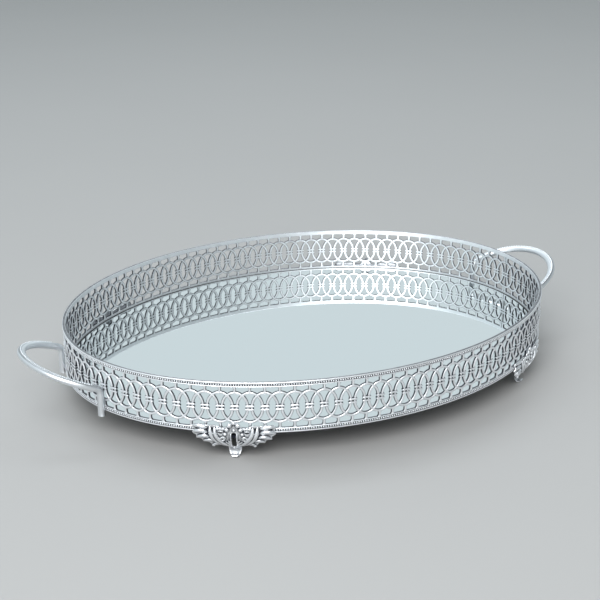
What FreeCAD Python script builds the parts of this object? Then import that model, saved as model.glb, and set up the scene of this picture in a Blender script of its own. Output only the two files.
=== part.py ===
import FreeCAD, Part
import math
import os
from FreeCAD import Rotation, Vector

os.makedirs("parts", exist_ok=True)

# Driving dimensions, in millimetres. The oval is measured to the middle of the gallery's wall.
# The origin is on the table under the tray's centre, +X runs through the handles, +Z is up.
ovalHalfLength = 190.0
ovalHalfWidth = 145.8
galleryBottom = 20.6
galleryHeight = 36.4
wallInside = 1.0
webOutside = 0.6
railHeight = 3.4
seamGap = 0.1

# The pierced pattern: a chain of oval rings, each centred on the clasp that ties its neighbours.
pitchesPerHalf = 54.28
endMargin = 0.14
ringHalfWidthRatio = 0.866
ringHalfHeightRatio = 1.085
wireWidthRatio = 0.15
claspHalfWidthRatio = 0.29
claspHalfHeightRatio = 0.215

# Base pan, mirror glass and the adhesive between them. Heights are from the gallery's lower edge.
panDrop = 1.8
panSheet = 1.0
panRimRise = 1.6
panRimWall = 0.8
fitGap = 0.05
bondThickness = 0.4
glassThickness = 2.0
glassEdgeGap = 0.45
bondInset = 12.0
bondStripWidth = 22.0

# Handles: a round rod bent into a bow, tilted up, with a leg on the gallery at each end.
rodRadius = 2.4
handleHalfSpan = 40.0
handleReach = 41.8
handleTilt = 22.0
handleCornerRise = 16.2
handleBend = 5.0
legDrop = 3.2
legStandOff = 3.0
railOutside = 1.2

# Feet: cast leaves bent round the gallery that sweep in below it, with a curled toe and a lug under the pan.
footAngle = 50.2
leafHalfWidth = 27.1
leafRise = 6.1
leafThickness = 2.2
leafSweep = 3.65
neckHeight = 8.1
toeHalfWidth = 4.5
toeTipHalfWidth = 2.2
toeRestInner = -6.1
toeRestOuter = -4.9
toeTip = -1.7
slotHalfWidth = 1.5
slotBottom = 9.5
slotTop = 21.2
lugThickness = 2.0
lugHalfWidth = 5.0
lugReach = 15.0
studInset = 9.0
studRadius = 1.5
studLength = 6.4
lugHoleRadius = 1.65
nutHalfFlats = 2.75
nutHeight = 2.4

galleryTop = galleryBottom + galleryHeight
panBottom = galleryBottom - panDrop
panRimTop = galleryBottom + panRimRise
handleCornerHeight = galleryBottom + handleCornerRise
legFoot = galleryBottom - legDrop
leafTop = galleryBottom + leafRise
galleryMiddle = galleryBottom + galleryHeight / 2
origin = Vector(0, 0, 0)
up = Vector(0, 0, 1)


def ovalEdge(offset, height):
    curve = Part.Ellipse(Vector(0, 0, height), ovalHalfLength + offset, ovalHalfWidth + offset)
    return curve.toShape()


def ovalSolid(offset, low, high):
    face = Part.Face(Part.Wire([ovalEdge(offset, low)]))
    return face.extrude(Vector(0, 0, high - low))


def ovalRing(inner, outer, low, high):
    return ovalSolid(outer, low, high).cut(ovalSolid(inner, low, high))


centreLine = ovalEdge(0, 0)
pitch = centreLine.Length / 2 / pitchesPerHalf
ringHalfWidth = ringHalfWidthRatio * pitch
ringHalfHeight = ringHalfHeightRatio * pitch
halfWire = wireWidthRatio * pitch / 2
claspHalfWidth = claspHalfWidthRatio * pitch
claspHalfHeight = claspHalfHeightRatio * pitch
railEdge = galleryHeight / 2 - railHeight


def standOn(shape, angle):
    """Move a shape drawn with X along the wall, Y up and Z outward to that parameter of the oval."""
    point = centreLine.valueAt(angle)
    along = centreLine.tangentAt(angle)
    outward = along.cross(up)
    place = FreeCAD.Placement(point, Rotation(along, up, outward, "ZXY"))
    placed = shape.copy()
    placed.Placement = place.multiply(shape.Placement)
    return placed


def ringTop(across, grow):
    return (ringHalfHeight + grow) * math.sqrt(1 - (across / (ringHalfWidth + grow)) ** 2)


def ringSide(rise, grow):
    return (ringHalfWidth + grow) * math.sqrt(1 - (rise / (ringHalfHeight + grow)) ** 2)


def arcThrough(start, middle, end):
    points = [Vector(x, y, 0) for x, y in (start, middle, end)]
    return Part.Arc(*points).toShape()


def lineBetween(start, end):
    return Part.makeLine(Vector(start[0], start[1], 0), Vector(end[0], end[1], 0))


def punch(edges):
    face = Part.Face(Part.Wire(Part.__sortEdges__(edges)))
    tool = face.extrude(Vector(0, 0, 6))
    tool.translate(Vector(0, galleryMiddle, -3))
    return tool


def almondPunch():
    """The space two neighbouring rings share, between the clasps at 0 and at one pitch."""
    middle = pitch / 2
    tip = ringTop(middle, -halfWire)
    reach = pitch - claspHalfWidth
    shoulder = ringTop(reach, -halfWire)
    bulge = (tip + shoulder) / 2
    corners = [(claspHalfWidth, shoulder), (middle, tip), (reach, shoulder)]
    bulges = [(pitch - ringSide(bulge, -halfWire), bulge), (ringSide(bulge, -halfWire), bulge)]
    edges = []
    for flip in (1, -1):
        left, top, right = [(x, flip * y) for x, y in corners]
        leftBulge, rightBulge = [(x, flip * y) for x, y in bulges]
        edges.append(arcThrough(left, leftBulge, top))
        edges.append(arcThrough(top, rightBulge, right))
    for side in (claspHalfWidth, reach):
        edges.append(lineBetween((side, -shoulder), (side, shoulder)))
    return punch(edges)


def fanCorner():
    """Where the top of one ring's inside meets the outside of the next ring."""
    low = pitch - ringHalfWidth - halfWire
    high = pitch / 2
    for _ in range(40):
        trial = (low + high) / 2
        if ringTop(trial, -halfWire) > ringTop(pitch - trial, halfWire):
            low = trial
        else:
            high = trial
    return low


def fanPunch(flip):
    """The fan above (flip 1) or below (flip -1) the clasp at 0."""
    corner = fanCorner()
    top = ringTop(corner, -halfWire)
    foot = pitch - ringSide(claspHalfHeight, halfWire)
    halfway = (top + claspHalfHeight) / 2
    bulge = pitch - ringSide(halfway, halfWire)
    edges = [
        lineBetween((-foot, flip * claspHalfHeight), (foot, flip * claspHalfHeight)),
        arcThrough((foot, flip * claspHalfHeight), (bulge, flip * halfway), (corner, flip * top)),
        arcThrough((corner, flip * top), (0, flip * ringTop(0, -halfWire)), (-corner, flip * top)),
        arcThrough((-corner, flip * top), (-bulge, flip * halfway), (-foot, flip * claspHalfHeight)),
    ]
    return punch(edges)


def cartouchePunch(flip):
    """The brick-shaped opening between the rings and a rail, from one strut to the next."""
    near = halfWire
    far = pitch - halfWire
    middle = pitch / 2
    roof = flip * (railEdge + 1)
    quarter = (near + middle) / 2
    shoulder = flip * ringTop(near, halfWire)
    side = flip * ringTop(quarter, halfWire)
    valley = flip * ringTop(middle, halfWire)
    edges = [
        lineBetween((near, shoulder), (near, roof)),
        lineBetween((near, roof), (far, roof)),
        lineBetween((far, roof), (far, shoulder)),
        arcThrough((near, shoulder), (quarter, side), (middle, valley)),
        arcThrough((middle, valley), (pitch - quarter, side), (far, shoulder)),
    ]
    return punch(edges)


def quarterGallery():
    """One quarter of the gallery, from the handle end at +X to the middle of the long side."""
    corner = Part.makeBox(ovalHalfLength + 9, ovalHalfWidth + 9, galleryTop, Vector(0, seamGap, 0))
    web = ovalRing(-wallInside, webOutside, galleryBottom + railHeight, galleryTop - railHeight)
    web = web.common(corner)
    fans = [fanPunch(1), fanPunch(-1)]
    betweenClasps = [almondPunch(), cartouchePunch(1), cartouchePunch(-1)]
    for tool in betweenClasps:
        tool.translate(Vector(-pitch / 2, 0, 0))
    tools = []
    lastClasp = int(pitchesPerHalf / 2)
    for clasp in range(lastClasp + 1):
        angle = centreLine.getParameterByLength((endMargin + clasp) * pitch)
        tools += [standOn(fan, angle) for fan in fans]
    for clasp in range(lastClasp):
        angle = centreLine.getParameterByLength((endMargin + clasp + 0.5) * pitch)
        tools += [standOn(tool, angle) for tool in betweenClasps]
    quarter = web.cut(tools)
    for profile in railProfiles():
        quarter = quarter.fuse(ovalRing(-wallInside, *profile).common(corner))
    return quarter.removeSplitter()


def railProfiles():
    """Outer offset, low and high of each step of the two rails: plain fillet, bead row, outer lip."""
    steps = [(1.0, 0, 0.85), (railOutside, 0.85, 2.15), (0.7, 2.15, 2.4), (railOutside, 2.4, railHeight)]
    profiles = []
    for outside, near, far in steps:
        top = galleryTop - railHeight
        profiles.append((outside, top + near, top + far))
        bottom = galleryBottom + railHeight
        profiles.append((outside, bottom - far, bottom - near))
    return profiles


def galleryHalves():
    quarter = quarterGallery()
    otherQuarter = quarter.mirror(origin, Vector(1, 0, 0))
    back = quarter.fuse(otherQuarter).removeSplitter()
    front = back.mirror(origin, Vector(0, 1, 0))
    return back, front


def footPlaces():
    angle = math.radians(footAngle)
    return [angle, math.pi - angle, math.pi + angle, 2 * math.pi - angle]


def basePan():
    outside = -wallInside - fitGap
    pan = ovalSolid(outside, panBottom, panRimTop)
    return pan.cut(ovalSolid(outside - panRimWall, panBottom + panSheet, panRimTop + 1))


def bondStrips():
    """A ring of adhesive under the glass edge, and two strips across the middle."""
    low = panBottom + panSheet
    high = low + bondThickness
    ring = ovalRing(-bondInset - bondStripWidth, -bondInset, low, high)
    length = 2 * (ovalHalfWidth - bondInset - bondStripWidth) - 8
    strips = [ring]
    for side in (-1, 1):
        corner = Vector(side * ovalHalfLength / 4 - bondStripWidth / 2, -length / 2, low)
        strips.append(Part.makeBox(bondStripWidth, length, bondThickness, corner))
    return Part.makeCompound(strips)


def mirrorGlass():
    low = panBottom + panSheet + bondThickness
    outside = -wallInside - fitGap - panRimWall - glassEdgeGap
    glass = ovalSolid(outside, low, low + glassThickness)
    topEdges = [edge for edge in glass.Edges if edge.BoundBox.ZMin > low + glassThickness - 0.01]
    return glass.makeChamfer(0.3, topEdges)


def handle(side):
    tilt = math.radians(handleTilt)
    legOval = (ovalHalfLength + legStandOff, ovalHalfWidth + legStandOff)
    legX = legOval[0] * math.sqrt(1 - (handleHalfSpan / legOval[1]) ** 2)
    turn = math.pi / 2 - tilt
    bendRun = handleBend * math.tan(turn / 2)
    bendTop = handleCornerHeight - bendRun
    along = Vector(math.cos(tilt), 0, math.sin(tilt))
    edges = []
    for end in (-1, 1):
        foot = Vector(legX, end * handleHalfSpan, legFoot)
        knee = Vector(legX, end * handleHalfSpan, bendTop)
        corner = Vector(legX, end * handleHalfSpan, handleCornerHeight)
        leave = corner + along * bendRun
        half = turn / 2
        centre = knee + Vector(handleBend, 0, 0)
        middle = centre + Vector(-math.cos(half), 0, math.sin(half)) * handleBend
        edges.append(Part.makeLine(foot, knee))
        edges.append(Part.Arc(knee, middle, leave).toShape())
    bowCentre = Vector(legX, 0, handleCornerHeight) + along * bendRun
    depth = handleReach - bendRun
    tip = bowCentre + along * depth
    sidePoint = bowCentre + Vector(0, handleHalfSpan, 0)
    if handleHalfSpan > depth:
        bow = Part.Ellipse(sidePoint, tip, bowCentre)
        edges.append(Part.ArcOfEllipse(bow, 0, math.pi).toShape())
    else:
        bow = Part.Ellipse(tip, sidePoint, bowCentre)
        edges.append(Part.ArcOfEllipse(bow, -math.pi / 2, math.pi / 2).toShape())
    path = Part.Wire(Part.__sortEdges__(edges))
    circle = Part.Circle(Vector(legX, -handleHalfSpan, legFoot), up, rodRadius)
    section = Part.Wire([circle.toShape()])
    rod = path.makePipeShell([section], True, False)
    rod = rod.cut(ovalSolid(railOutside + fitGap, 0, galleryTop + 20))
    if side < 0:
        rod = rod.mirror(origin, Vector(1, 0, 0))
    return rod


def leafOutline():
    """Right half of the leaf plate, from the crown round the lobes to the neck: X across, Y height."""
    wide = leafHalfWidth
    return [
        (0, leafTop + 2.6), (2.6, leafTop + 1.4), (4.4, leafTop - 1.2), (9.0, leafTop - 1.6),
        (17.0, leafTop - 0.8), (wide, leafTop - 1.4), (wide, leafTop - 7.0), (wide - 2.2, leafTop - 10.6),
        (wide - 6.4, leafTop - 13.8), (wide - 13.0, leafTop - 17.2), (toeHalfWidth + 1.2, leafTop - 17.4),
        (toeHalfWidth, neckHeight),
    ]


def footCasting():
    """One foot, drawn with X along the gallery, Y up and Z outward from the gallery's centre line."""
    right = leafOutline()
    left = [(-x, y) for x, y in reversed(right)]
    points = [Vector(x, y, -6) for x, y in right + left[:-1]]
    plate = Part.Face(Part.makePolygon(points + points[:1])).extrude(Vector(0, 0, 16))
    slot = Part.makeBox(2 * slotHalfWidth, slotTop - slotBottom, 20, Vector(-slotHalfWidth, slotBottom, -8))
    return plate.cut(slot)


def toe():
    """The toe: in side view it sweeps inward from the leaf's lower end, down, and curls outward to its tip."""
    neck = neckHeight + 1.1
    bend = (-8.2, 4.6)
    hollow = (-6.8, 4.6)
    profile = [
        arcThrough((-2.2, neck), (-6.6, 8.0), bend),
        arcThrough(bend, (-7.9, 1.6), (toeRestInner, 0)),
        lineBetween((toeRestInner, 0), (toeRestOuter, 0)),
        arcThrough((toeRestOuter, 0), (-3.0, 0.5), (toeTip, 2.2)),
        lineBetween((toeTip, 2.2), (toeTip - 0.7, 2.9)),
        arcThrough((toeTip - 0.7, 2.9), (-3.6, 1.7), (-5.3, 1.35)),
        arcThrough((-5.3, 1.35), (-6.5, 2.6), hollow),
        arcThrough(hollow, (-5.2, 6.6), (-0.4, neckHeight - 0.5)),
        lineBetween((-0.4, neckHeight - 0.5), (-0.4, neck)),
        lineBetween((-0.4, neck), (-2.2, neck)),
    ]
    face = Part.Face(Part.Wire(Part.__sortEdges__(profile)))
    solid = face.extrude(Vector(0, 0, 2 * toeHalfWidth))
    solid.translate(Vector(0, 0, -toeHalfWidth))
    solid.rotate(origin, Vector(0, 1, 0), -90)
    taper = [(-toeHalfWidth, neck), (toeHalfWidth, neck), (toeHalfWidth, 4.2),
             (toeTipHalfWidth, 0), (-toeTipHalfWidth, 0), (-toeHalfWidth, 4.2)]
    corners = [Vector(x, y, -12) for x, y in taper]
    wedge = Part.Face(Part.makePolygon(corners + corners[:1])).extrude(Vector(0, 0, 30))
    return solid.common(wedge)


def lug():
    low = panBottom - lugThickness
    outer = railOutside + fitGap + 1.0
    shelf = Part.makeBox(2 * lugHalfWidth, lugThickness, lugReach, Vector(-lugHalfWidth, low, outer - lugReach))
    hole = Part.makeCylinder(lugHoleRadius, 20, Vector(0, low - 9, -studInset), Vector(0, 1, 0))
    return shelf.cut(hole)


def leafSkin():
    """The layer the leaves are cut from: upright beside the gallery, swept inward below the pan."""
    inner = railOutside + fitGap
    low = neckHeight - 0.2
    skirts = []
    for offset in (inner + leafThickness, inner):
        ovals = [Part.Wire([ovalEdge(offset - leafSweep, low)]), Part.Wire([ovalEdge(offset, panBottom)])]
        skirts.append(Part.makeLoft(ovals, True, True))
    upright = ovalRing(inner, inner + leafThickness, panBottom, galleryTop)
    return upright.fuse(skirts[0].cut(skirts[1]))


def foot(angle):
    leaves = standOn(footCasting(), angle).common(leafSkin())
    return leaves.fuse([standOn(toe(), angle), standOn(lug(), angle)]).removeSplitter()


def footStud():
    foot = Vector(0, panBottom - studLength, -studInset)
    return Part.makeCylinder(studRadius, studLength, foot, Vector(0, 1, 0))


def footNut():
    low = panBottom - lugThickness - nutHeight
    reach = nutHalfFlats / math.cos(math.pi / 6)
    corners = []
    for side in range(7):
        angle = side * math.pi / 3
        corners.append(Vector(reach * math.cos(angle), low, reach * math.sin(angle) - studInset))
    nut = Part.Face(Part.makePolygon(corners)).extrude(Vector(0, nutHeight, 0))
    return nut.cut(Part.makeCylinder(studRadius + fitGap, 20, Vector(0, low - 5, -studInset), Vector(0, 1, 0)))


def save(name, shape):
    solids = len(shape.Solids)
    volume = round(shape.Volume, 1)
    print(name, "solids", solids, "valid", shape.isValid(), "volume", volume, "faces", len(shape.Faces))
    shape.exportStep("parts/" + name + ".step")


back, front = galleryHalves()
save("gallery_back", back)
save("gallery_front", front)
save("base_pan", basePan())
save("mirror_bond", bondStrips())
save("mirror_glass", mirrorGlass())
save("handle_right", handle(1))
save("handle_left", handle(-1))
footNames = ["foot_back_right", "foot_back_left", "foot_front_left", "foot_front_right"]
for name, place in zip(footNames, footPlaces()):
    save(name, foot(place))
save("foot_studs", Part.makeCompound([standOn(footStud(), place) for place in footPlaces()]))
save("foot_nuts", Part.makeCompound([standOn(footNut(), place) for place in footPlaces()]))
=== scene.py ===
import math
import bmesh
import bpy
import numpy as np
from mathutils import Matrix, Vector


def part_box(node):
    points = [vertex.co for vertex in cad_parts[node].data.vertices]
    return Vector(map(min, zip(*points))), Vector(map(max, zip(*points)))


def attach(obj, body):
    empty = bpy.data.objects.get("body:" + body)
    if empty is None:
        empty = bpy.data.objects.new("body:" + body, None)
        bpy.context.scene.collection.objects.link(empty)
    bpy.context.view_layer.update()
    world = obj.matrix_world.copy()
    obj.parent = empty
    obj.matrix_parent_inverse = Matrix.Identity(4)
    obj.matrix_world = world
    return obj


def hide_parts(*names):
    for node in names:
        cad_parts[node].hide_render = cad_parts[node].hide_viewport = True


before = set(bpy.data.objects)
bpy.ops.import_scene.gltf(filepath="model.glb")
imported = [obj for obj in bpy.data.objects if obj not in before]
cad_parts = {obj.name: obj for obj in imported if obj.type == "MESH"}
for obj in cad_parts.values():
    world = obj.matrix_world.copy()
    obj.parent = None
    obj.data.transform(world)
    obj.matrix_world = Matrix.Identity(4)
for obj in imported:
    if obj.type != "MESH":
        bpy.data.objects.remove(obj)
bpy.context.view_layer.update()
mm = 0.001


class Wire:
    # a socket that takes part in sums, so that 1 - mask works
    def __init__(self, paint, socket):
        self.paint = paint
        self.socket = socket

    def sum(self, kind, first, second):
        return self.paint.node("ShaderNodeMath", {"operation": kind}, {0: first, 1: second})

    def __add__(self, other):
        return self.sum("ADD", self, other)

    def __radd__(self, other):
        return self.sum("ADD", other, self)

    def __sub__(self, other):
        return self.sum("SUBTRACT", self, other)

    def __rsub__(self, other):
        return self.sum("SUBTRACT", other, self)

    def __mul__(self, other):
        return self.sum("MULTIPLY", self, other)

    def __rmul__(self, other):
        return self.sum("MULTIPLY", other, self)


class Paint:
    # the nodes of one material or world
    def __init__(self, owner):
        self.owner = owner
        owner.use_nodes = True
        self.tree = owner.node_tree
        self.tree.nodes.clear()

    def node(self, kind, settings=None, inputs=None, output=0):
        made = self.tree.nodes.new(kind)
        for key, value in (settings or {}).items():
            if key == "stops":
                ramp = made.color_ramp
                while len(ramp.elements) < len(value):
                    ramp.elements.new(0.5)
                for element, (place, colour) in zip(ramp.elements, value):
                    element.position = place
                    element.color = colour
            else:
                setattr(made, key, value)
        for key, value in (inputs or {}).items():
            if isinstance(value, Wire):
                self.tree.links.new(value.socket, made.inputs[key])
            else:
                made.inputs[key].default_value = value
        return Wire(self, made.outputs[output]) if made.outputs else made

    def finish(self, shader, kind="ShaderNodeOutputMaterial"):
        self.node(kind, None, {0: shader})
        return self.owner

    # object coordinates in metres
    def place(self):
        return self.node("ShaderNodeTexCoord", output=3)

    def noise(self, scale, detail=3, rough=0.5, distort=0.0):
        inputs = {"Vector": self.place(), "Scale": scale, "Detail": detail}
        inputs.update({"Roughness": rough, "Distortion": distort})
        return self.node("ShaderNodeTexNoise", None, inputs)

    def ramp(self, value, *stops):
        grey = [(place, (tone, tone, tone, 1)) for place, tone in stops]
        return self.node("ShaderNodeValToRGB", {"stops": grey}, {0: value})

    def mix(self, share, first, second):
        return self.node("ShaderNodeMix", {"data_type": "RGBA"}, {0: share, 6: first, 7: second}, 2)

    def bump(self, height, strength, distance):
        inputs = {"Height": height, "Strength": strength, "Distance": distance}
        return self.node("ShaderNodeBump", None, inputs)


class Skin:
    # gathers closed shells, in millimetres, with a painted shading tone for each point: 0 is painted shade
    # in the hollows, 1 the full silver colour on a raised top
    def __init__(self):
        self.points = []
        self.paintedShading = []
        self.faces = []
        self.count = 0

    def add(self, points, faces, paintedShading):
        points = np.asarray(points, float).reshape(-1, 3)
        self.points.append(points)
        self.paintedShading.append(np.broadcast_to(np.asarray(paintedShading, float).ravel(), len(points)))
        self.faces += [[corner + self.count for corner in face] for face in faces]
        self.count += len(points)

    # sections is (stations, points round the section, 3)
    def sweep(self, sections, paintedShading, closed=False):
        stations, around = sections.shape[:2]
        faces = []
        for i in range(stations if closed else stations - 1):
            near = i * around
            far = (i + 1) % stations * around
            for j in range(around):
                k = (j + 1) % around
                faces.append([near + j, near + k, far + k, far + j])
        if not closed:
            faces.append(list(range(around))[::-1])
            faces.append([(stations - 1) * around + j for j in range(around)])
        self.add(sections, faces, np.broadcast_to(paintedShading, sections.shape[:2]))

    def build(self, name, sharpAngle=40):
        mesh = bpy.data.meshes.new(name)
        mesh.from_pydata((np.concatenate(self.points) * mm).tolist(), [], self.faces)
        addPaintedShading(mesh, np.concatenate(self.paintedShading))
        work = bmesh.new()
        work.from_mesh(mesh)
        loose = [point for point in work.verts if not point.link_faces]
        bmesh.ops.delete(work, geom=loose, context="VERTS")
        bmesh.ops.recalc_face_normals(work, faces=work.faces)
        work.to_mesh(mesh)
        work.free()
        return addPiece(name, mesh, sharpAngle)


# stores the painted shading tone of each point
def addPaintedShading(mesh, paintedShading):
    attribute = mesh.attributes.new("tone", "FLOAT", "POINT")
    attribute.data.foreach_set("value", np.asarray(paintedShading, np.float32))


def addPiece(name, mesh, sharpAngle=40):
    mesh.shade_smooth()
    mesh.set_sharp_from_angle(angle=math.radians(sharpAngle))
    piece = bpy.data.objects.new(name, mesh)
    bpy.context.scene.collection.objects.link(piece)
    return piece


def settle(piece, material, slot, *nodes):
    piece.data.materials.clear()
    piece.data.materials.append(material)
    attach(piece, "root")
    if nodes:
        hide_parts(*nodes)


# points of a ball squashed by size = (x, y, z), pole along z
def ball(centre, size, around=10, rows=6):
    points = []
    for i in range(rows + 1):
        lean = math.pi * i / rows
        for j in range(around):
            turn = 2 * math.pi * j / around
            ray = (math.sin(lean) * math.cos(turn), math.sin(lean) * math.sin(turn), math.cos(lean))
            points.append([c + s * r for c, s, r in zip(centre, size, ray)])
    return np.array(points).reshape(rows + 1, around, 3)


def ballFaces(around, rows):
    faces = []
    for i in range(1, rows - 1):
        for j in range(around):
            k = (j + 1) % around
            faces.append([i * around + j, i * around + k, (i + 1) * around + k, (i + 1) * around + j])
    for j in range(around):
        k = (j + 1) % around
        faces.append([0, around + k, around + j])
        faces.append([rows * around, (rows - 1) * around + j, (rows - 1) * around + k])
    return faces


print("finishes")

silver = {
    "bright": (0.92, 0.94, 0.97, 1),
    # near-black painted shade colour for recesses and flanks
    "paintedShade": (0.03, 0.033, 0.045, 1),
    "roughBright": 0.36,
    "metallic": 0.86,
    "roughGroove": 0.5,
    "mottleScale": 160,
    "mottleShare": 0.12,
    "mottleRough": 0.05,
    "grainScale": 2600,
    "grainStrength": 0.35,
    "grainDepth": 0.00002,
}


def silverPlate(name, changes=None):
    look = {**silver, **(changes or {})}
    paint = Paint(bpy.data.materials.new(name))
    # painted shading: a low tone mixes the near-black painted shade into the silver
    tone = paint.node("ShaderNodeAttribute", {"attribute_name": "tone"}, output=2)
    mottle = paint.ramp(paint.noise(look["mottleScale"], 4, 0.6), (0.3, 0), (0.7, 1))
    paintedLightShare = paint.ramp(tone + (mottle - 0.5) * look["mottleShare"], (0.05, 0), (0.75, 1))
    colour = paint.mix(paintedLightShare, look["paintedShade"], look["bright"])
    rough = look["roughGroove"] + paintedLightShare * (look["roughBright"] - look["roughGroove"])
    rough = rough + mottle * look["mottleRough"]
    grain = paint.noise(look["grainScale"], 2, 0.5)
    shader = paint.node("ShaderNodeBsdfPrincipled", None, {
        "Base Color": colour, "Metallic": look["metallic"], "Roughness": rough,
        "Normal": paint.bump(grain, look["grainStrength"], look["grainDepth"])})
    return paint.finish(shader)


mirrorLook = {"tint": (0.86, 0.905, 0.91, 1), "haze": 0.012, "smudge": 0.03, "smudgeScale": 14}


def mirrorFinish():
    paint = Paint(bpy.data.materials.new("silvered_glass"))
    smudge = paint.ramp(paint.noise(mirrorLook["smudgeScale"], 5, 0.6, 0.4), (0.5, 0), (0.75, 1))
    shader = paint.node("ShaderNodeBsdfPrincipled", None, {
        "Base Color": mirrorLook["tint"], "Metallic": 1.0,
        "Roughness": mirrorLook["haze"] + smudge * mirrorLook["smudge"]})
    return paint.finish(shader)


# the pan is coloured near black, with faint lighter patches
panLook = {
    "dark": (0.020, 0.021, 0.024, 1),
    "light": (0.032, 0.033, 0.036, 1),
    "rough": 0.34,
    "roughPatch": 0.1,
    "patchScale": 25,
    "peelScale": 900,
    "peelDepth": 0.00003,
}


def panFinish():
    paint = Paint(bpy.data.materials.new("dark_pan"))
    peel = paint.noise(panLook["peelScale"], 2, 0.4)
    patch = paint.noise(panLook["patchScale"], 4, 0.6)
    colour = paint.mix(paint.ramp(patch, (0.35, 0), (0.65, 1)), panLook["dark"], panLook["light"])
    rough = panLook["rough"] + patch * panLook["roughPatch"]
    shader = paint.node("ShaderNodeBsdfPrincipled", None, {
        "Base Color": colour, "Metallic": 0.0, "Roughness": rough,
        "Normal": paint.bump(peel, 0.3, panLook["peelDepth"])})
    return paint.finish(shader)


foam = {
    "dark": (0.70, 0.70, 0.66, 1),
    "light": (0.86, 0.86, 0.82, 1),
    "cellScale": 1800,
    "cellDepth": 0.00005,
}


def foamFinish():
    paint = Paint(bpy.data.materials.new("bond_foam"))
    cells = paint.noise(foam["cellScale"], 3, 0.7)
    colour = paint.mix(cells, foam["dark"], foam["light"])
    shader = paint.node("ShaderNodeBsdfPrincipled", None, {
        "Base Color": colour, "Roughness": 0.9, "Normal": paint.bump(cells, 0.5, foam["cellDepth"])})
    return paint.finish(shader)


zinc = {"dark": (0.50, 0.51, 0.53, 1), "light": (0.70, 0.71, 0.73, 1), "spangleScale": 500, "rough": 0.28}


def zincFinish():
    paint = Paint(bpy.data.materials.new("zinc_plate"))
    spangle = paint.noise(zinc["spangleScale"], 4, 0.6)
    colour = paint.mix(spangle, zinc["dark"], zinc["light"])
    shader = paint.node("ShaderNodeBsdfPrincipled", None, {
        "Base Color": colour, "Metallic": 1.0, "Roughness": zinc["rough"] + spangle * 0.15})
    return paint.finish(shader)


galleryPlate = silverPlate("gallery_plate")
# the handle's silver is a darker copy of the gallery's: painted shade
handlePlate = silverPlate("handle_plate", {
    "mottleScale": 90, "bright": (0.84, 0.87, 0.90, 1), "roughBright": 0.33, "metallic": 1.0})
footPlate = silverPlate("foot_plate", {"roughBright": 0.26, "metallic": 0.95})


print("oval")

wall = {"inside": 1.0, "railOutside": 1.2, "railHeight": 3.4, "seamGap": 0.1}
galleryLow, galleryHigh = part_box("gallery_back")
halfLength = galleryHigh.x / mm - wall["railOutside"]
halfWidth = galleryHigh.y / mm - wall["railOutside"]
galleryBottom = galleryLow.z / mm
galleryHeight = (galleryHigh.z - galleryLow.z) / mm

angles = np.linspace(0, 2 * math.pi, 7201)
steps = np.hypot(np.diff(halfLength * np.cos(angles)), np.diff(halfWidth * np.sin(angles)))
lengths = np.concatenate([[0], np.cumsum(steps)])
halfRound = lengths[-1] / 2


# a point on the wall: along it from the right handle's end, above its lower edge, outward from its middle
def onWall(along, above, outward):
    along, above, outward = np.broadcast_arrays(along, above, outward)
    turn = np.interp(along, lengths, angles)
    c, s = np.cos(turn), np.sin(turn)
    size = np.hypot(halfWidth * c, halfLength * s)
    x = halfLength * c + outward * halfWidth * c / size
    y = halfWidth * s + outward * halfLength * s / size
    return np.stack([x, y, galleryBottom + above], -1)


print("gallery")

pattern = {
    "pitchesPerHalf": 54.28,
    "endMargin": 0.14,
    "ringWidth": 0.866,
    "ringHeight": 1.085,
    "wireWidth": 0.195,
    "wireCrown": 0.80,
    "claspHalfLength": 2.9,
    "claspBarHalf": 0.84,
    "claspBarOffset": 1.2,
    "claspCrown": 1.35,
    "beadsPerPitch": 6,
    "beadRadius": 0.66,
    "handWork": 0.06,
}
pitch = halfRound / pattern["pitchesPerHalf"]
ringWidth = pattern["ringWidth"] * pitch
ringHeight = pattern["ringHeight"] * pitch
halfWire = pattern["wireWidth"] * pitch / 2
middle = galleryHeight / 2
chance = np.random.default_rng(7)


# a wire's section: flat inside, rounded outside; across is in halves of the width
def wireSection(crown):
    across = [0, 0.92, 1, 1, 0.8, 0.52, 0, -0.52, -0.8, -1, -1, -0.92]
    shoulder = crown - 0.75
    outward = [-wall["inside"], -wall["inside"], -0.45, shoulder, crown - 0.38, crown - 0.09, crown]
    outward += outward[5:0:-1]
    # painted shading: the flanks are painted shade (tone 0), the crown keeps the full silver colour
    paintedShading = [0.95, 0.3, 0.0, 0.0, 0.35, 1.0, 1.0, 1.0, 0.35, 0.0, 0.0, 0.3]
    return np.array(across), np.array(outward), np.array(paintedShading)


# a wire laid on the wall along (s, h) points, with its half width at each
def layWire(skin, s, h, half, crown=None, closed=False):
    across, outward, paintedShading = wireSection(pattern["wireCrown"] if crown is None else crown)
    if closed:
        ds = np.roll(s, -1) - np.roll(s, 1)
        dh = np.roll(h, -1) - np.roll(h, 1)
    else:
        ds, dh = np.gradient(s), np.gradient(h)
    size = np.hypot(ds, dh)
    sideS, sideH = dh / size, -ds / size
    half = np.broadcast_to(half, s.shape)
    atS = s[:, None] + sideS[:, None] * half[:, None] * across
    atH = h[:, None] + sideH[:, None] * half[:, None] * across
    skin.sweep(onWall(atS, atH, np.broadcast_to(outward, atS.shape)), paintedShading, closed)


def addRing(skin, centre, start, end):
    turns = np.linspace(-math.pi, math.pi, 45)[:-1]
    closed = True
    if centre - ringWidth < start:
        reach = math.acos((start - centre) / ringWidth)
        turns = np.linspace(-reach, reach, 25)
        closed = False
    if centre + ringWidth > end:
        reach = math.acos((end - centre) / ringWidth)
        turns = np.linspace(reach, 2 * math.pi - reach, 25)
        closed = False
    s = centre + ringWidth * np.cos(turns)
    h = middle + ringHeight * np.sin(turns)
    layWire(skin, s, h, halfWire, None, closed)


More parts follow.
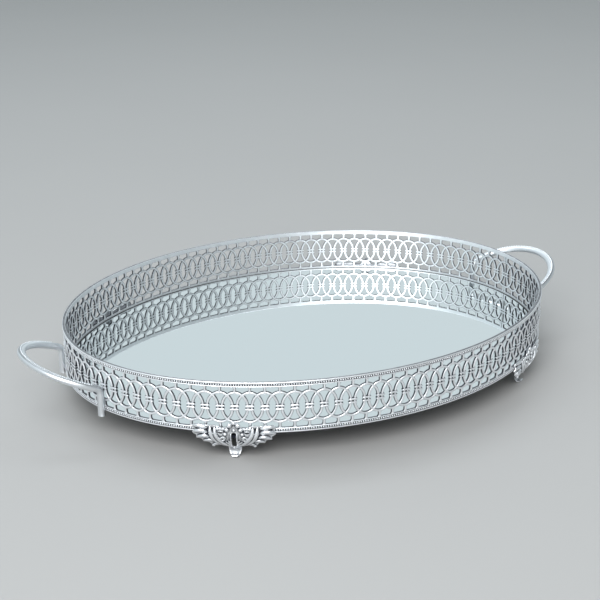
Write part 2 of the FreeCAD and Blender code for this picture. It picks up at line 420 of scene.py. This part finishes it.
def addStruts(skin, centre):
    gap = galleryHeight / 2 - wall["railHeight"] - ringHeight
    rise = np.array([-0.25, 0.55, 1.0, 1.6, gap - 1.1, gap - 0.5, gap - 0.1, gap + 0.3])
    half = halfWire * np.array([1.5, 1.25, 1.0, 0.95, 0.98, 1.25, 1.7, 2.0])
    for side in (-1, 1):
        layWire(skin, np.full(len(rise), centre), middle + side * (ringHeight + rise), half)


# two short bars side by side, bound over the wires
def addClasp(skin, centre, start, end):
    # the bars take the same painted shade on their flanks
    across, outward, paintedShading = wireSection(pattern["claspCrown"])
    reach = np.array([-1, -0.96, -0.86, -0.5, 0, 0.5, 0.86, 0.96, 1])
    fade = np.array([0.45, 0.78, 0.96, 1, 1, 1, 0.96, 0.78, 0.45])
    for side in (-1, 1):
        lean = chance.normal(0, pattern["handWork"])
        shift = chance.normal(0, 2 * pattern["handWork"])
        s = centre + shift + reach * pattern["claspHalfLength"]
        s = np.clip(s, start, end)
        h = middle + side * pattern["claspBarOffset"] + reach * lean
        atS = np.repeat(s[:, None], len(across), 1)
        atH = h[:, None] + fade[:, None] * pattern["claspBarHalf"] * across
        lift = np.where(outward > 0, outward * (0.6 + 0.4 * fade[:, None]), outward)
        skin.sweep(onWall(atS, atH, lift), paintedShading)


# outline of a rail's section: outward from the wall's middle, height from the pattern's side, and a painted
# shading tone, low in the hollows where shade falls
railOutline = [
    (-1.0, 0.15, 0.6), (-0.85, 0.0, 0.2), (0.5, 0.0, 0.1), (0.9, 0.1, 0.75), (1.05, 0.38, 1.0),
    (0.9, 0.66, 0.8), (0.5, 0.78, 0.1), (0.38, 0.88, 0.0), (0.38, 2.12, 0.0), (0.55, 2.24, 0.1),
    (1.08, 2.34, 0.75), (1.2, 2.6, 1.0), (1.16, 3.0, 1.0), (1.0, 3.28, 0.95), (0.8, 3.38, 0.5),
    (0.5, 3.25, 0.1), (0.22, 3.2, 0.12), (0.02, 3.36, 0.6), (-0.18, 3.2, 0.12), (-0.5, 3.25, 0.1),
    (-0.75, 3.4, 0.6), (-1.0, 3.15, 0.95), (-1.0, 1.7, 0.95),
]
beadSeat = {"outward": 0.55, "height": 1.5}


def addRails(skin, start, end):
    outline = np.array(railOutline)
    stations = np.linspace(start, end, 341)
    for side in (-1, 1):
        base = galleryHeight / 2 - wall["railHeight"]
        height = middle + side * (base + outline[:, 1])
        grid = np.repeat(stations[:, None], len(outline), 1)
        skin.sweep(onWall(grid, height[None, :], outline[None, :, 0]), outline[:, 2])
        gap = pitch / pattern["beadsPerPitch"]
        radius = pattern["beadRadius"]
        beadHeight = middle + side * (base + beadSeat["height"])
        around, rows = 8, 6
        for place in np.arange(start + gap / 2, end, gap):
            bead = ball((place, beadHeight, beadSeat["outward"]), (radius, radius, radius), around, rows)
            # painted shading: each bead's outer face is full silver, its back painted shade
            paintedShading = np.clip((bead[:, :, 2] - beadSeat["outward"]) / radius, 0, 1) ** 0.6
            bead = bead.reshape(-1, 3)
            skin.add(onWall(bead[:, 0], bead[:, 1], bead[:, 2]), ballFaces(around, rows), paintedShading)


def galleryHalf(name, start):
    skin = Skin()
    first = start + wall["seamGap"]
    last = start + halfRound - wall["seamGap"]
    addRails(skin, first, last)
    for clasp in range(int(pattern["pitchesPerHalf"]) + 1):
        centre = start + (pattern["endMargin"] + clasp) * pitch
        addRing(skin, centre, first, last)
        addStruts(skin, centre)
        addClasp(skin, centre, first, last)
    for place in (first + 0.35, last - 0.35):
        reach = middle - wall["railHeight"] + 0.3
        layWire(skin, np.full(2, place), middle + np.array([-reach, reach]), 0.35, 0.5)
    return skin.build(name)


for name, start in (("gallery_back", 0.0), ("gallery_front", halfRound)):
    settle(galleryHalf(name + "_openwork", start), galleryPlate, "silver_gallery", name)


print("handles")

handleLook = {
    "rod": 2.5,
    "rodInFrame": 2.4,
    "tilt": 22.0,
    "reach": 41.8,
    "cornerRise": 16.2,
    "bend": 5.0,
    "standOff": 3.0,
    "gripFrom": 34,
    "gripFade": 22,
    "gripWiden": 0.55,
    "footFlare": 0.5,
    "flareLength": 3.0,
    "beadsFrom": 26,
    "beadRadius": 0.72,
    "beadGap": 1.5,
    "beadLean": -0.5,
    "beadSink": 0.18,
    "rodTone": 0.85,
    # painted shade for the band along the bead row
    "besideBeadsShade": 0.4,
}


# the rod's centre line for the right handle, from one leg's foot over the bow to the other's
def handleLine():
    low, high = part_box("handle_right")
    span = (high.y - low.y) / mm / 2 - handleLook["rodInFrame"]
    tilt = math.radians(handleLook["tilt"])
    turn = math.pi / 2 - tilt
    run = handleLook["bend"] * math.tan(turn / 2)
    outX = halfLength + handleLook["standOff"]
    legX = outX * math.sqrt(1 - (span / (halfWidth + handleLook["standOff"])) ** 2)
    corner = galleryBottom + handleLook["cornerRise"]
    half = [(legX, z) for z in np.linspace(low.z / mm, corner - run, 14)]
    for angle in np.linspace(0, turn, 9)[1:]:
        half.append((legX + handleLook["bend"] * (1 - math.cos(angle)),
                     corner - run + handleLook["bend"] * math.sin(angle)))
    leg = [(x, -span, z) for x, z in half]
    startX, startZ = half[-1]
    bow = []
    for angle in np.linspace(-math.pi / 2, math.pi / 2, 81)[1:-1]:
        out = (handleLook["reach"] - run) * math.cos(angle)
        bow.append((startX + out * math.cos(tilt), span * math.sin(angle), startZ + out * math.sin(tilt)))
    return np.array(leg + bow + [(x, -y, z) for x, y, z in reversed(leg)])


def handle(name, side):
    line = handleLine()
    count = len(line)
    along = np.gradient(line, axis=0)
    along /= np.linalg.norm(along, axis=1)[:, None]
    tilt = math.radians(handleLook["tilt"])
    crown = np.zeros_like(line)
    half = count // 2
    crown[half] = (-math.sin(tilt), 0, math.cos(tilt))
    for order in (range(half + 1, count), range(half - 1, -1, -1)):
        before = half
        for i in order:
            turned = crown[before] - along[i] * crown[before].dot(along[i])
            crown[i] = turned / np.linalg.norm(turned)
            before = i
    sideways = np.cross(along, crown)
    walked = np.concatenate([[0], np.cumsum(np.linalg.norm(np.diff(line, axis=0), axis=1))])
    fromEnd = np.minimum(walked, walked[-1] - walked)
    grip = np.clip((fromEnd - handleLook["gripFrom"]) / handleLook["gripFade"], 0, 1)
    grip = grip * grip * (3 - 2 * grip)
    flare = np.clip(1 - fromEnd / handleLook["flareLength"], 0, 1) ** 2
    wide = handleLook["rod"] + handleLook["gripWiden"] * grip + handleLook["footFlare"] * flare
    deep = handleLook["rod"] - 0.2 * grip
    turns = np.linspace(0, 2 * math.pi, 29)[:-1]
    shape = line[:, None] + sideways[:, None] * (wide[:, None] * np.cos(turns))[:, :, None]
    shape = shape + crown[:, None] * (deep[:, None] * np.sin(turns))[:, :, None]
    touch = wall["railOutside"] + 0.05
    size = np.hypot(shape[:, :, 0] / (halfLength + touch), shape[:, :, 1] / (halfWidth + touch))
    push = np.maximum(1 / size, 1)
    shape[:, :, :2] *= push[:, :, None]
    skin = Skin()
    # painted shade: a darker band along the bead row on the rod
    fromBeads = np.abs(turns - math.pi / 2 - handleLook["beadLean"])
    paintedShading = np.where(fromBeads < 0.4, handleLook["besideBeadsShade"], handleLook["rodTone"])
    skin.sweep(shape, np.broadcast_to(paintedShading, shape.shape[:2]))
    lean = handleLook["beadLean"]
    first = handleLook["beadsFrom"]
    reach = handleLook["rod"] - handleLook["beadSink"]
    radius = handleLook["beadRadius"]
    for place in np.arange(first, walked[-1] - first, handleLook["beadGap"]):
        point = [np.interp(place, walked, line[:, k]) for k in range(3)]
        lift = [np.interp(place, walked, crown[:, k]) for k in range(3)]
        outward = [np.interp(place, walked, sideways[:, k]) for k in range(3)]
        toBead = math.cos(lean) * np.array(lift) - math.sin(lean) * np.array(outward)
        centre = np.array(point) + reach * toBead
        bead = ball(centre, (radius, radius, radius), 7, 5).reshape(-1, 3)
        up = (bead - centre) @ np.array(lift) / radius
        # painted shading: each bead lighter on top, darker underneath
        skin.add(bead, ballFaces(7, 5), np.clip(0.4 + up, 0.2, 1))
    for shell in skin.points:
        shell[:, 0] *= side
    return skin.build(name)


for name, side in (("handle_right", 1), ("handle_left", -1)):
    settle(handle(name + "_bow", side), handlePlate, "silver_handle", name)


print("feet")

footLook = {
    "widen": 1.04,
    "lift": 2.6,
    "sweepIn": 4.8,
    "sweepFrom": 18.8,
    "sweepTo": 7.9,
    "voxel": 0.25,
    "smoothing": 2,
    "flatten": 0.8,
    "back": 1.25,
    "plate": 2.3,
    # strength of the painted relief shading
    "reliefShade": 3.2,
}

# one half of a leaf plate, across and height: crown, top edge, lobes, underside, then the slot's edge
leafHalf = [
    (-0.1, 26.4), (1.8, 26.0), (3.8, 24.0), (5.2, 22.2), (8.8, 22.6), (12.5, 23.8), (16.5, 23.4),
    (20.5, 24.1), (25.6, 23.6), (26.5, 21.6), (24.6, 20.0), (26.6, 17.6), (23.6, 15.6), (24.2, 13.4),
    (20.2, 12.6), (19.6, 10.3), (16.0, 10.2), (14.2, 7.4), (12.4, 6.9), (8.5, 7.8), (4.6, 6.8),
    (1.8, 5.9), (-0.1, 5.9),
    (-0.1, 6.8), (1.3, 6.8), (1.5, 17.8), (1.0, 18.5), (-0.1, 18.7),
]
# ribs, lobes and fine ridges as centre lines (across, height, outward) with a radius at each point
leafRibs = [
    ([(2.6, 7.0, 2.0), (5.4, 8.8, 2.9), (9.2, 13.0, 3.5), (11.4, 18.0, 3.6), (12.0, 22.6, 2.7)],
     [0.7, 1.0, 1.2, 1.25, 0.9]),
    ([(4.0, 6.9, 1.8), (8.2, 9.1, 2.6), (12.0, 12.8, 3.2), (14.3, 18.0, 3.4), (14.9, 22.8, 2.5)],
     [0.6, 1.0, 1.2, 1.3, 0.9]),
    ([(16.6, 21.6, 2.2), (20.0, 22.6, 2.9), (23.6, 22.9, 2.6), (26.2, 22.2, 1.9)], [1.1, 1.4, 1.2, 0.6]),
    ([(16.4, 18.2, 2.3), (20.0, 19.4, 3.0), (23.6, 19.0, 2.7), (26.4, 17.5, 1.9)], [1.1, 1.5, 1.3, 0.6]),
    ([(15.4, 14.8, 2.3), (18.4, 15.8, 3.0), (21.4, 15.0, 2.7), (24.0, 13.3, 1.9)], [1.0, 1.4, 1.2, 0.6]),
    ([(13.0, 11.6, 2.2), (15.4, 12.4, 2.8), (17.8, 11.8, 2.6), (19.6, 10.3, 1.9)], [0.8, 1.2, 1.1, 0.6]),
    ([(9.6, 8.8, 2.0), (11.4, 9.0, 2.5), (13.2, 7.9, 2.5)], [0.6, 1.0, 0.9]),
    ([(1.9, 7.2, 2.2), (3.4, 9.4, 2.7), (5.4, 11.6, 2.9)], [0.5, 0.6, 0.4]),
    ([(1.8, 7.8, 2.2), (2.6, 10.4, 2.7), (3.6, 12.8, 2.9)], [0.5, 0.6, 0.4]),
    ([(1.95, 8.0, 2.5), (1.95, 12.5, 2.7), (1.9, 17.6, 2.6)], [0.5, 0.5, 0.5]),
    ([(6.9, 20.2, 2.4), (6.7, 21.4, 2.9), (6.3, 22.4, 2.4)], [0.5, 0.8, 0.5]),
    ([(8.4, 20.4, 2.4), (8.4, 21.6, 3.0), (8.4, 22.7, 2.4)], [0.5, 0.85, 0.5]),
    ([(9.9, 20.2, 2.4), (10.1, 21.4, 2.9), (10.4, 22.6, 2.4)], [0.5, 0.8, 0.5]),
    ([(6.6, 19.4, 2.5), (8.4, 19.7, 2.9), (10.2, 19.4, 2.5)], [0.4, 0.5, 0.4]),
]
leafBeads = [(2.6, 24.0, 2.7, 1.55), (4.3, 20.8, 2.8, 1.35), (5.4, 17.6, 2.8, 1.15), (13.3, 7.4, 2.7, 1.15)]
crownBeads = [(0, 26.0, 2.6, 1.5), (0, 5.9, 3.0, 0.85), (0, 20.4, 2.6, 0.9)]
moon = {"across": 8.4, "height": 18.2, "halfWidth": 1.55, "halfHeight": 0.7}
scroll = {"across": 6.7, "height": 13.6, "outward": 3.0, "outer": 2.0, "inner": 0.5}
scroll.update({"turns": 1.35, "wire": 0.55, "points": 12})
# the toe's side view (outward, height) with its half width and how far its edges curl outward
toeLine = [(-3.0, 8.6, 2.8, 0.0), (-4.6, 8.0, 4.2, 0.2), (-6.4, 6.9, 4.5, 0.5), (-7.4, 4.7, 4.4, 0.9),
           (-7.0, 2.4, 3.7, 1.1), (-6.0, 0.9, 3.1, 1.0), (-4.7, 0.52, 2.8, 0.8), (-3.3, 1.05, 2.5, 0.5),
           (-2.0, 2.2, 2.3, 0.2)]
toeWall = 1.0


# how far the casting is swept inward below the pan
def sweepIn(height):
    share = (footLook["sweepFrom"] - height) / (footLook["sweepFrom"] - footLook["sweepTo"])
    return footLook["sweepIn"] * np.clip(share, 0, 1) ** 1.4


def smoothLine(points, count):
    points = np.array(points, float)
    steps = np.linalg.norm(np.diff(points[:, :3], axis=0), axis=1)
    walked = np.concatenate([[0], np.cumsum(steps)])
    slopes = np.gradient(points, walked, axis=0)
    at = np.linspace(0, walked[-1], count)
    seg = np.clip(np.searchsorted(walked, at) - 1, 0, len(steps) - 1)
    t = ((at - walked[seg]) / steps[seg])[:, None]
    span = steps[seg][:, None]
    first, second = points[seg], points[seg + 1]
    return ((2 * t ** 3 - 3 * t ** 2 + 1) * first + (t ** 3 - 2 * t ** 2 + t) * span * slopes[seg]
            + (3 * t ** 2 - 2 * t ** 3) * second + (t ** 3 - t ** 2) * span * slopes[seg + 1])


# a round tapering ridge through the points
def addRidge(skin, points, radii, flip=1, count=18, around=10):
    line = smoothLine([(*p, r) for p, r in zip(points, radii)], count)
    line[:, 0] *= flip
    centre, radius = line[:, :3], line[:, 3]
    along = np.gradient(centre, axis=0)
    along /= np.linalg.norm(along, axis=1)[:, None]
    side = np.cross(along, (0, 0, 1.0))
    side /= np.linalg.norm(side, axis=1)[:, None]
    lift = np.cross(side, along)
    ends = np.sqrt(np.clip(1 - np.abs(np.linspace(-1, 1, count)) ** 8, 0.08, 1))
    turns = np.linspace(0, 2 * math.pi, around + 1)[:-1]
    reach = (radius * ends)[:, None, None]
    ring = side[:, None] * np.cos(turns)[None, :, None] + lift[:, None] * np.sin(turns)[None, :, None]
    skin.sweep(centre[:, None] + reach * ring, 1)


def addSlab(skin, outline, low, high):
    outline = np.array(outline, float)
    count = len(outline)
    bottom = np.column_stack([outline, np.full(count, low)])
    top = np.column_stack([outline, np.full(count, high)])
    skin.sweep(np.stack([bottom, top]), 1)


def addToe(skin):
    points = [(0, w + sweepIn(h), h - footLook["lift"], half, curl) for w, h, half, curl in toeLine]
    line = smoothLine(points, 30)
    path, half, curl = line[:, 1:3], line[:, 3], line[:, 4]
    along = np.gradient(path, axis=0)
    along /= np.linalg.norm(along, axis=1)[:, None]
    inside = np.stack([-along[:, 1], along[:, 0]], 1)
    across = np.linspace(-1, 1, 13)
    front = np.concatenate([across, across[::-1]])
    layer = np.concatenate([np.full(13, 0.5), np.full(13, -0.5)]) * toeWall
    thin = np.sqrt(np.clip(1 - np.abs(front) ** 6, 0.15, 1))
    reach = curl[:, None] * front ** 2 + (layer * thin)[None, :]
    points = np.zeros((len(line), len(front), 3))
    points[:, :, 0] = half[:, None] * front
    points[:, :, 1] = path[:, 1:2] + inside[:, 1:2] * reach
    points[:, :, 2] = path[:, 0:1] + inside[:, 0:1] * reach
    skin.sweep(points, 1)


def addScroll(skin, flip):
    count = scroll["points"]
    turns = np.linspace(0, scroll["turns"] * 2 * math.pi, count)
    radius = np.linspace(scroll["outer"], scroll["inner"], count)
    angle = math.pi * 0.9 - turns
    points = [(scroll["across"] + r * math.cos(a), scroll["height"] + r * math.sin(a), scroll["outward"])
              for r, a in zip(radius, angle)]
    addRidge(skin, points, [scroll["wire"]] * count, flip, 40, 8)


# the casting before it is bent round the wall: x across, y height, z outward
def footBlank():
    skin = Skin()
    for flip in (-1, 1):
        addSlab(skin, [(x * flip, y) for x, y in leafHalf], footLook["back"], footLook["plate"])
        for points, radii in leafRibs:
            addRidge(skin, points, radii, flip)
        for x, y, z, radius in leafBeads:
            skin.add(ball((x * flip, y, z), (radius, radius, radius), 16, 10), ballFaces(16, 10), 1)
        addScroll(skin, flip)
    for x, y, z, radius in crownBeads:
        skin.add(ball((x, y, z), (radius, radius, radius), 16, 10), ballFaces(16, 10), 1)
    addToe(skin)
    return skin.build("foot_blank")


def moonCutter(flip):
    skin = Skin()
    outline = []
    for turn in np.linspace(0, math.pi, 13):
        x = flip * moon["across"] + moon["halfWidth"] * math.cos(turn)
        y = moon["height"] + moon["halfHeight"] * (0.6 - 1.5 * math.sin(turn))
        outline.append((x, y))
    addSlab(skin, outline, -1, 8)
    return skin.build("moon_cutter")


def applied(piece, *modifiers):
    for kind, settings in modifiers:
        modifier = piece.modifiers.new(kind.lower(), kind)
        for key, value in settings.items():
            setattr(modifier, key, value)
    bpy.context.view_layer.update()
    shaped = piece.evaluated_get(bpy.context.evaluated_depsgraph_get())
    mesh = bpy.data.meshes.new_from_object(shaped)
    piece.modifiers.clear()
    return mesh


def footCasting():
    blank = footBlank()
    cutters = [moonCutter(flip) for flip in (-1, 1)]
    blank.data = applied(blank, ("REMESH", {"mode": "VOXEL", "voxel_size": footLook["voxel"] * mm}))
    cut = {"operation": "DIFFERENCE", "solver": "EXACT"}
    cuts = [("BOOLEAN", {**cut, "object": cutter}) for cutter in cutters]
    blank.data = applied(blank, *cuts)
    smoothing = {"factor": 0.5, "iterations": footLook["smoothing"]}
    mesh = applied(blank, ("SMOOTH", smoothing))
    for made in [blank] + cutters:
        bpy.data.objects.remove(made)
    return mesh


# painted shading from how far a point stands above its blurred surroundings: painted shade in the hollows,
# full silver on raised points
def paintedReliefShading(points, edges):
    blurred = points.copy()
    counts = np.bincount(edges.ravel(), minlength=len(points))[:, None]
    for _ in range(14):
        total = np.zeros_like(blurred)
        np.add.at(total, edges[:, 0], blurred[edges[:, 1]])
        np.add.at(total, edges[:, 1], blurred[edges[:, 0]])
        blurred = total / np.maximum(counts, 1)
    return np.clip(0.62 + footLook["reliefShade"] * (points - blurred)[:, 2], 0, 1)


lug = {
    "halfWidth": 5.0,
    "halfLength": 6.6,
    "middle": -6.0,
    "hole": -9.0,
    "holeRadius": 1.65,
    "thickness": 2.0,
}


# the shelf under the pan that a stud passes through
def addLug(skin, along):
    high = (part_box("base_pan")[0].z / mm) - galleryBottom
    low = high - lug["thickness"]
    turns = np.linspace(0, 2 * math.pi, 33)[:-1]
    c, s = np.cos(turns), np.sin(turns)
    corner = (np.abs(c) ** 6 + np.abs(s) ** 6) ** (1 / 6)
    outer = np.stack([lug["halfWidth"] * c / corner, lug["middle"] + lug["halfLength"] * s / corner], 1)
    inner = np.stack([lug["holeRadius"] * c, lug["hole"] + lug["holeRadius"] * s], 1)
    rows = []
    for flat, height in ((outer, low), (outer, high), (inner, high), (inner, low)):
        rows.append(onWall(along + flat[:, 0], height, flat[:, 1]))
    # painted shade: the whole lug gets tone 0, near black
    skin.sweep(np.stack(rows).transpose(1, 0, 2), 0.0, True)


castMesh = footCasting()
cast = np.zeros(len(castMesh.vertices) * 3)
castMesh.vertices.foreach_get("co", cast)
cast = cast.reshape(-1, 3) / mm * (footLook["widen"], 1, 1) + (0, footLook["lift"], 0)
castEdges = np.zeros(len(castMesh.edges) * 2, int)
castMesh.edges.foreach_get("vertices", castEdges)
castEdges = castEdges.reshape(-1, 2)
castShading = paintedReliefShading(cast, castEdges)
castFaces = [list(face.vertices) for face in castMesh.polygons]


def foot(name):
    low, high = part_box(name)
    around = math.atan2((low.y + high.y) / halfWidth, (low.x + high.x) / halfLength) % (2 * math.pi)
    along = np.interp(around, angles, lengths)
    skin = Skin()
    proud = np.clip(cast[:, 2] - footLook["back"], 0, None) * np.clip((cast[:, 1] - 7) / 4, 0, 1)
    outward = cast[:, 2] - sweepIn(cast[:, 1]) - (1 - footLook["flatten"]) * proud
    bent = onWall(along + cast[:, 0], cast[:, 1] - galleryBottom, outward)
    # the casting carries its painted relief shading
    skin.add(bent, castFaces, castShading)
    addLug(skin, along)
    return skin.build(name + "_leaves")


for name in ("foot_back_right", "foot_back_left", "foot_front_left", "foot_front_right"):
    settle(foot(name), footPlate, "silver_foot", name)


print("pan, glass, foam and fasteners")

keptNodes = {
    "base_pan": panFinish(),
    "mirror_glass": mirrorFinish(),
    "mirror_bond": foamFinish(),
    "foot_studs": zincFinish(),
    "foot_nuts": zincFinish(),
}
for name, finish in keptNodes.items():
    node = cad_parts[name]
    node.data.materials.clear()
    node.data.materials.append(finish)


print("studio")

studio = {
    "azimuth": -29.28,
    "elevation": 21.40,
    "distance": 4.8972,
    "right": -0.0421,
    "up": 0.2487,
    "lift": 1.2,
    "lens": 71.30,
    "floorTone": (0.41, 0.405, 0.40, 1),
    "sky": (0.67, 0.745, 0.775, 1),
    "floorHalf": 6.0,
    "brightSide": (-0.45, 0.89, 0.0),
    "dimShare": 0.45,
}


def addFloor():
    paint = Paint(bpy.data.materials.new("pale_floor"))
    cloud = paint.noise(3, 3, 0.5)
    colour = paint.mix(cloud, studio["floorTone"], tuple(c * 1.04 for c in studio["floorTone"][:3]) + (1,))
    shader = paint.node("ShaderNodeBsdfPrincipled", None, {"Base Color": colour, "Roughness": 0.7})
    mesh = bpy.data.meshes.new("floor")
    half = studio["floorHalf"]
    corners = [(-half, -half, 0), (half, -half, 0), (half, half, 0), (-half, half, 0)]
    mesh.from_pydata(corners, [], [[0, 1, 2, 3]])
    floor = bpy.data.objects.new("floor", mesh)
    floor.data.materials.append(paint.finish(shader))
    bpy.context.scene.collection.objects.link(floor)


# each soft light's place, size, power and tint
lamps = {
    "window": ((-0.9, -1.2, 1.5), (1.5, 1.0), 30, (1, 1, 1)),
    "front": ((-1.7, -2.3, 1.15), (2.6, 1.6), 26, (1, 1, 1)),
    "rim": ((0.3, 0.9, 1.9), (1.6, 0.5), 10, (0.9, 0.95, 1.0)),
}
lampAim = (0, 0, 0.03)


def addLight(name):
    place, size, power, tint = lamps[name]
    light = bpy.data.lights.new(name, "AREA")
    light.shape = "RECTANGLE"
    light.size, light.size_y = size
    light.energy = power
    light.color = tint
    lamp = bpy.data.objects.new(name, light)
    lamp.location = place
    lamp.rotation_euler = (Vector(place) - Vector(lampAim)).to_track_quat("Z", "Y").to_euler()
    bpy.context.scene.collection.objects.link(lamp)


# bright behind and to the left, dim in front and to the right
def addWorld():
    world = bpy.data.worlds.new("studio")
    bpy.context.scene.world = world
    paint = Paint(world)
    way = paint.node("ShaderNodeTexCoord", output=0)
    inputs = {0: way, 1: studio["brightSide"]}
    facing = paint.node("ShaderNodeVectorMath", {"operation": "DOT_PRODUCT"}, inputs, 1)
    shade = paint.ramp(facing * 0.5 + 0.5, (0.05, studio["dimShare"]), (0.4, 0.75), (0.62, 1))
    colour = paint.mix(shade, (0, 0, 0, 1), studio["sky"])
    sky = paint.node("ShaderNodeBackground", None, {0: colour, 1: 1.0})
    paint.finish(sky, "ShaderNodeOutputWorld")


def addCamera():
    azimuth = math.radians(studio["azimuth"])
    elevation = math.radians(studio["elevation"])
    level = math.cos(elevation)
    back = Vector((math.sin(azimuth) * level, -math.cos(azimuth) * level, math.sin(elevation)))
    right = Vector((math.cos(azimuth), math.sin(azimuth), 0))
    up = back.cross(right)
    scale = halfLength * mm
    place = (studio["distance"] * back + studio["right"] * right + studio["up"] * up) * scale
    place.z += studio["lift"] * mm
    data = bpy.data.cameras.new("camera")
    data.lens = studio["lens"]
    data.sensor_width = 36
    camera = bpy.data.objects.new("camera", data)
    camera.matrix_world = Matrix.Translation(place) @ Matrix((right, up, back)).transposed().to_4x4()
    bpy.context.scene.collection.objects.link(camera)
    bpy.context.scene.camera = camera


addFloor()
addWorld()
for name in lamps:
    addLight(name)
addCamera()
bpy.context.scene.view_settings.view_transform = "Standard"
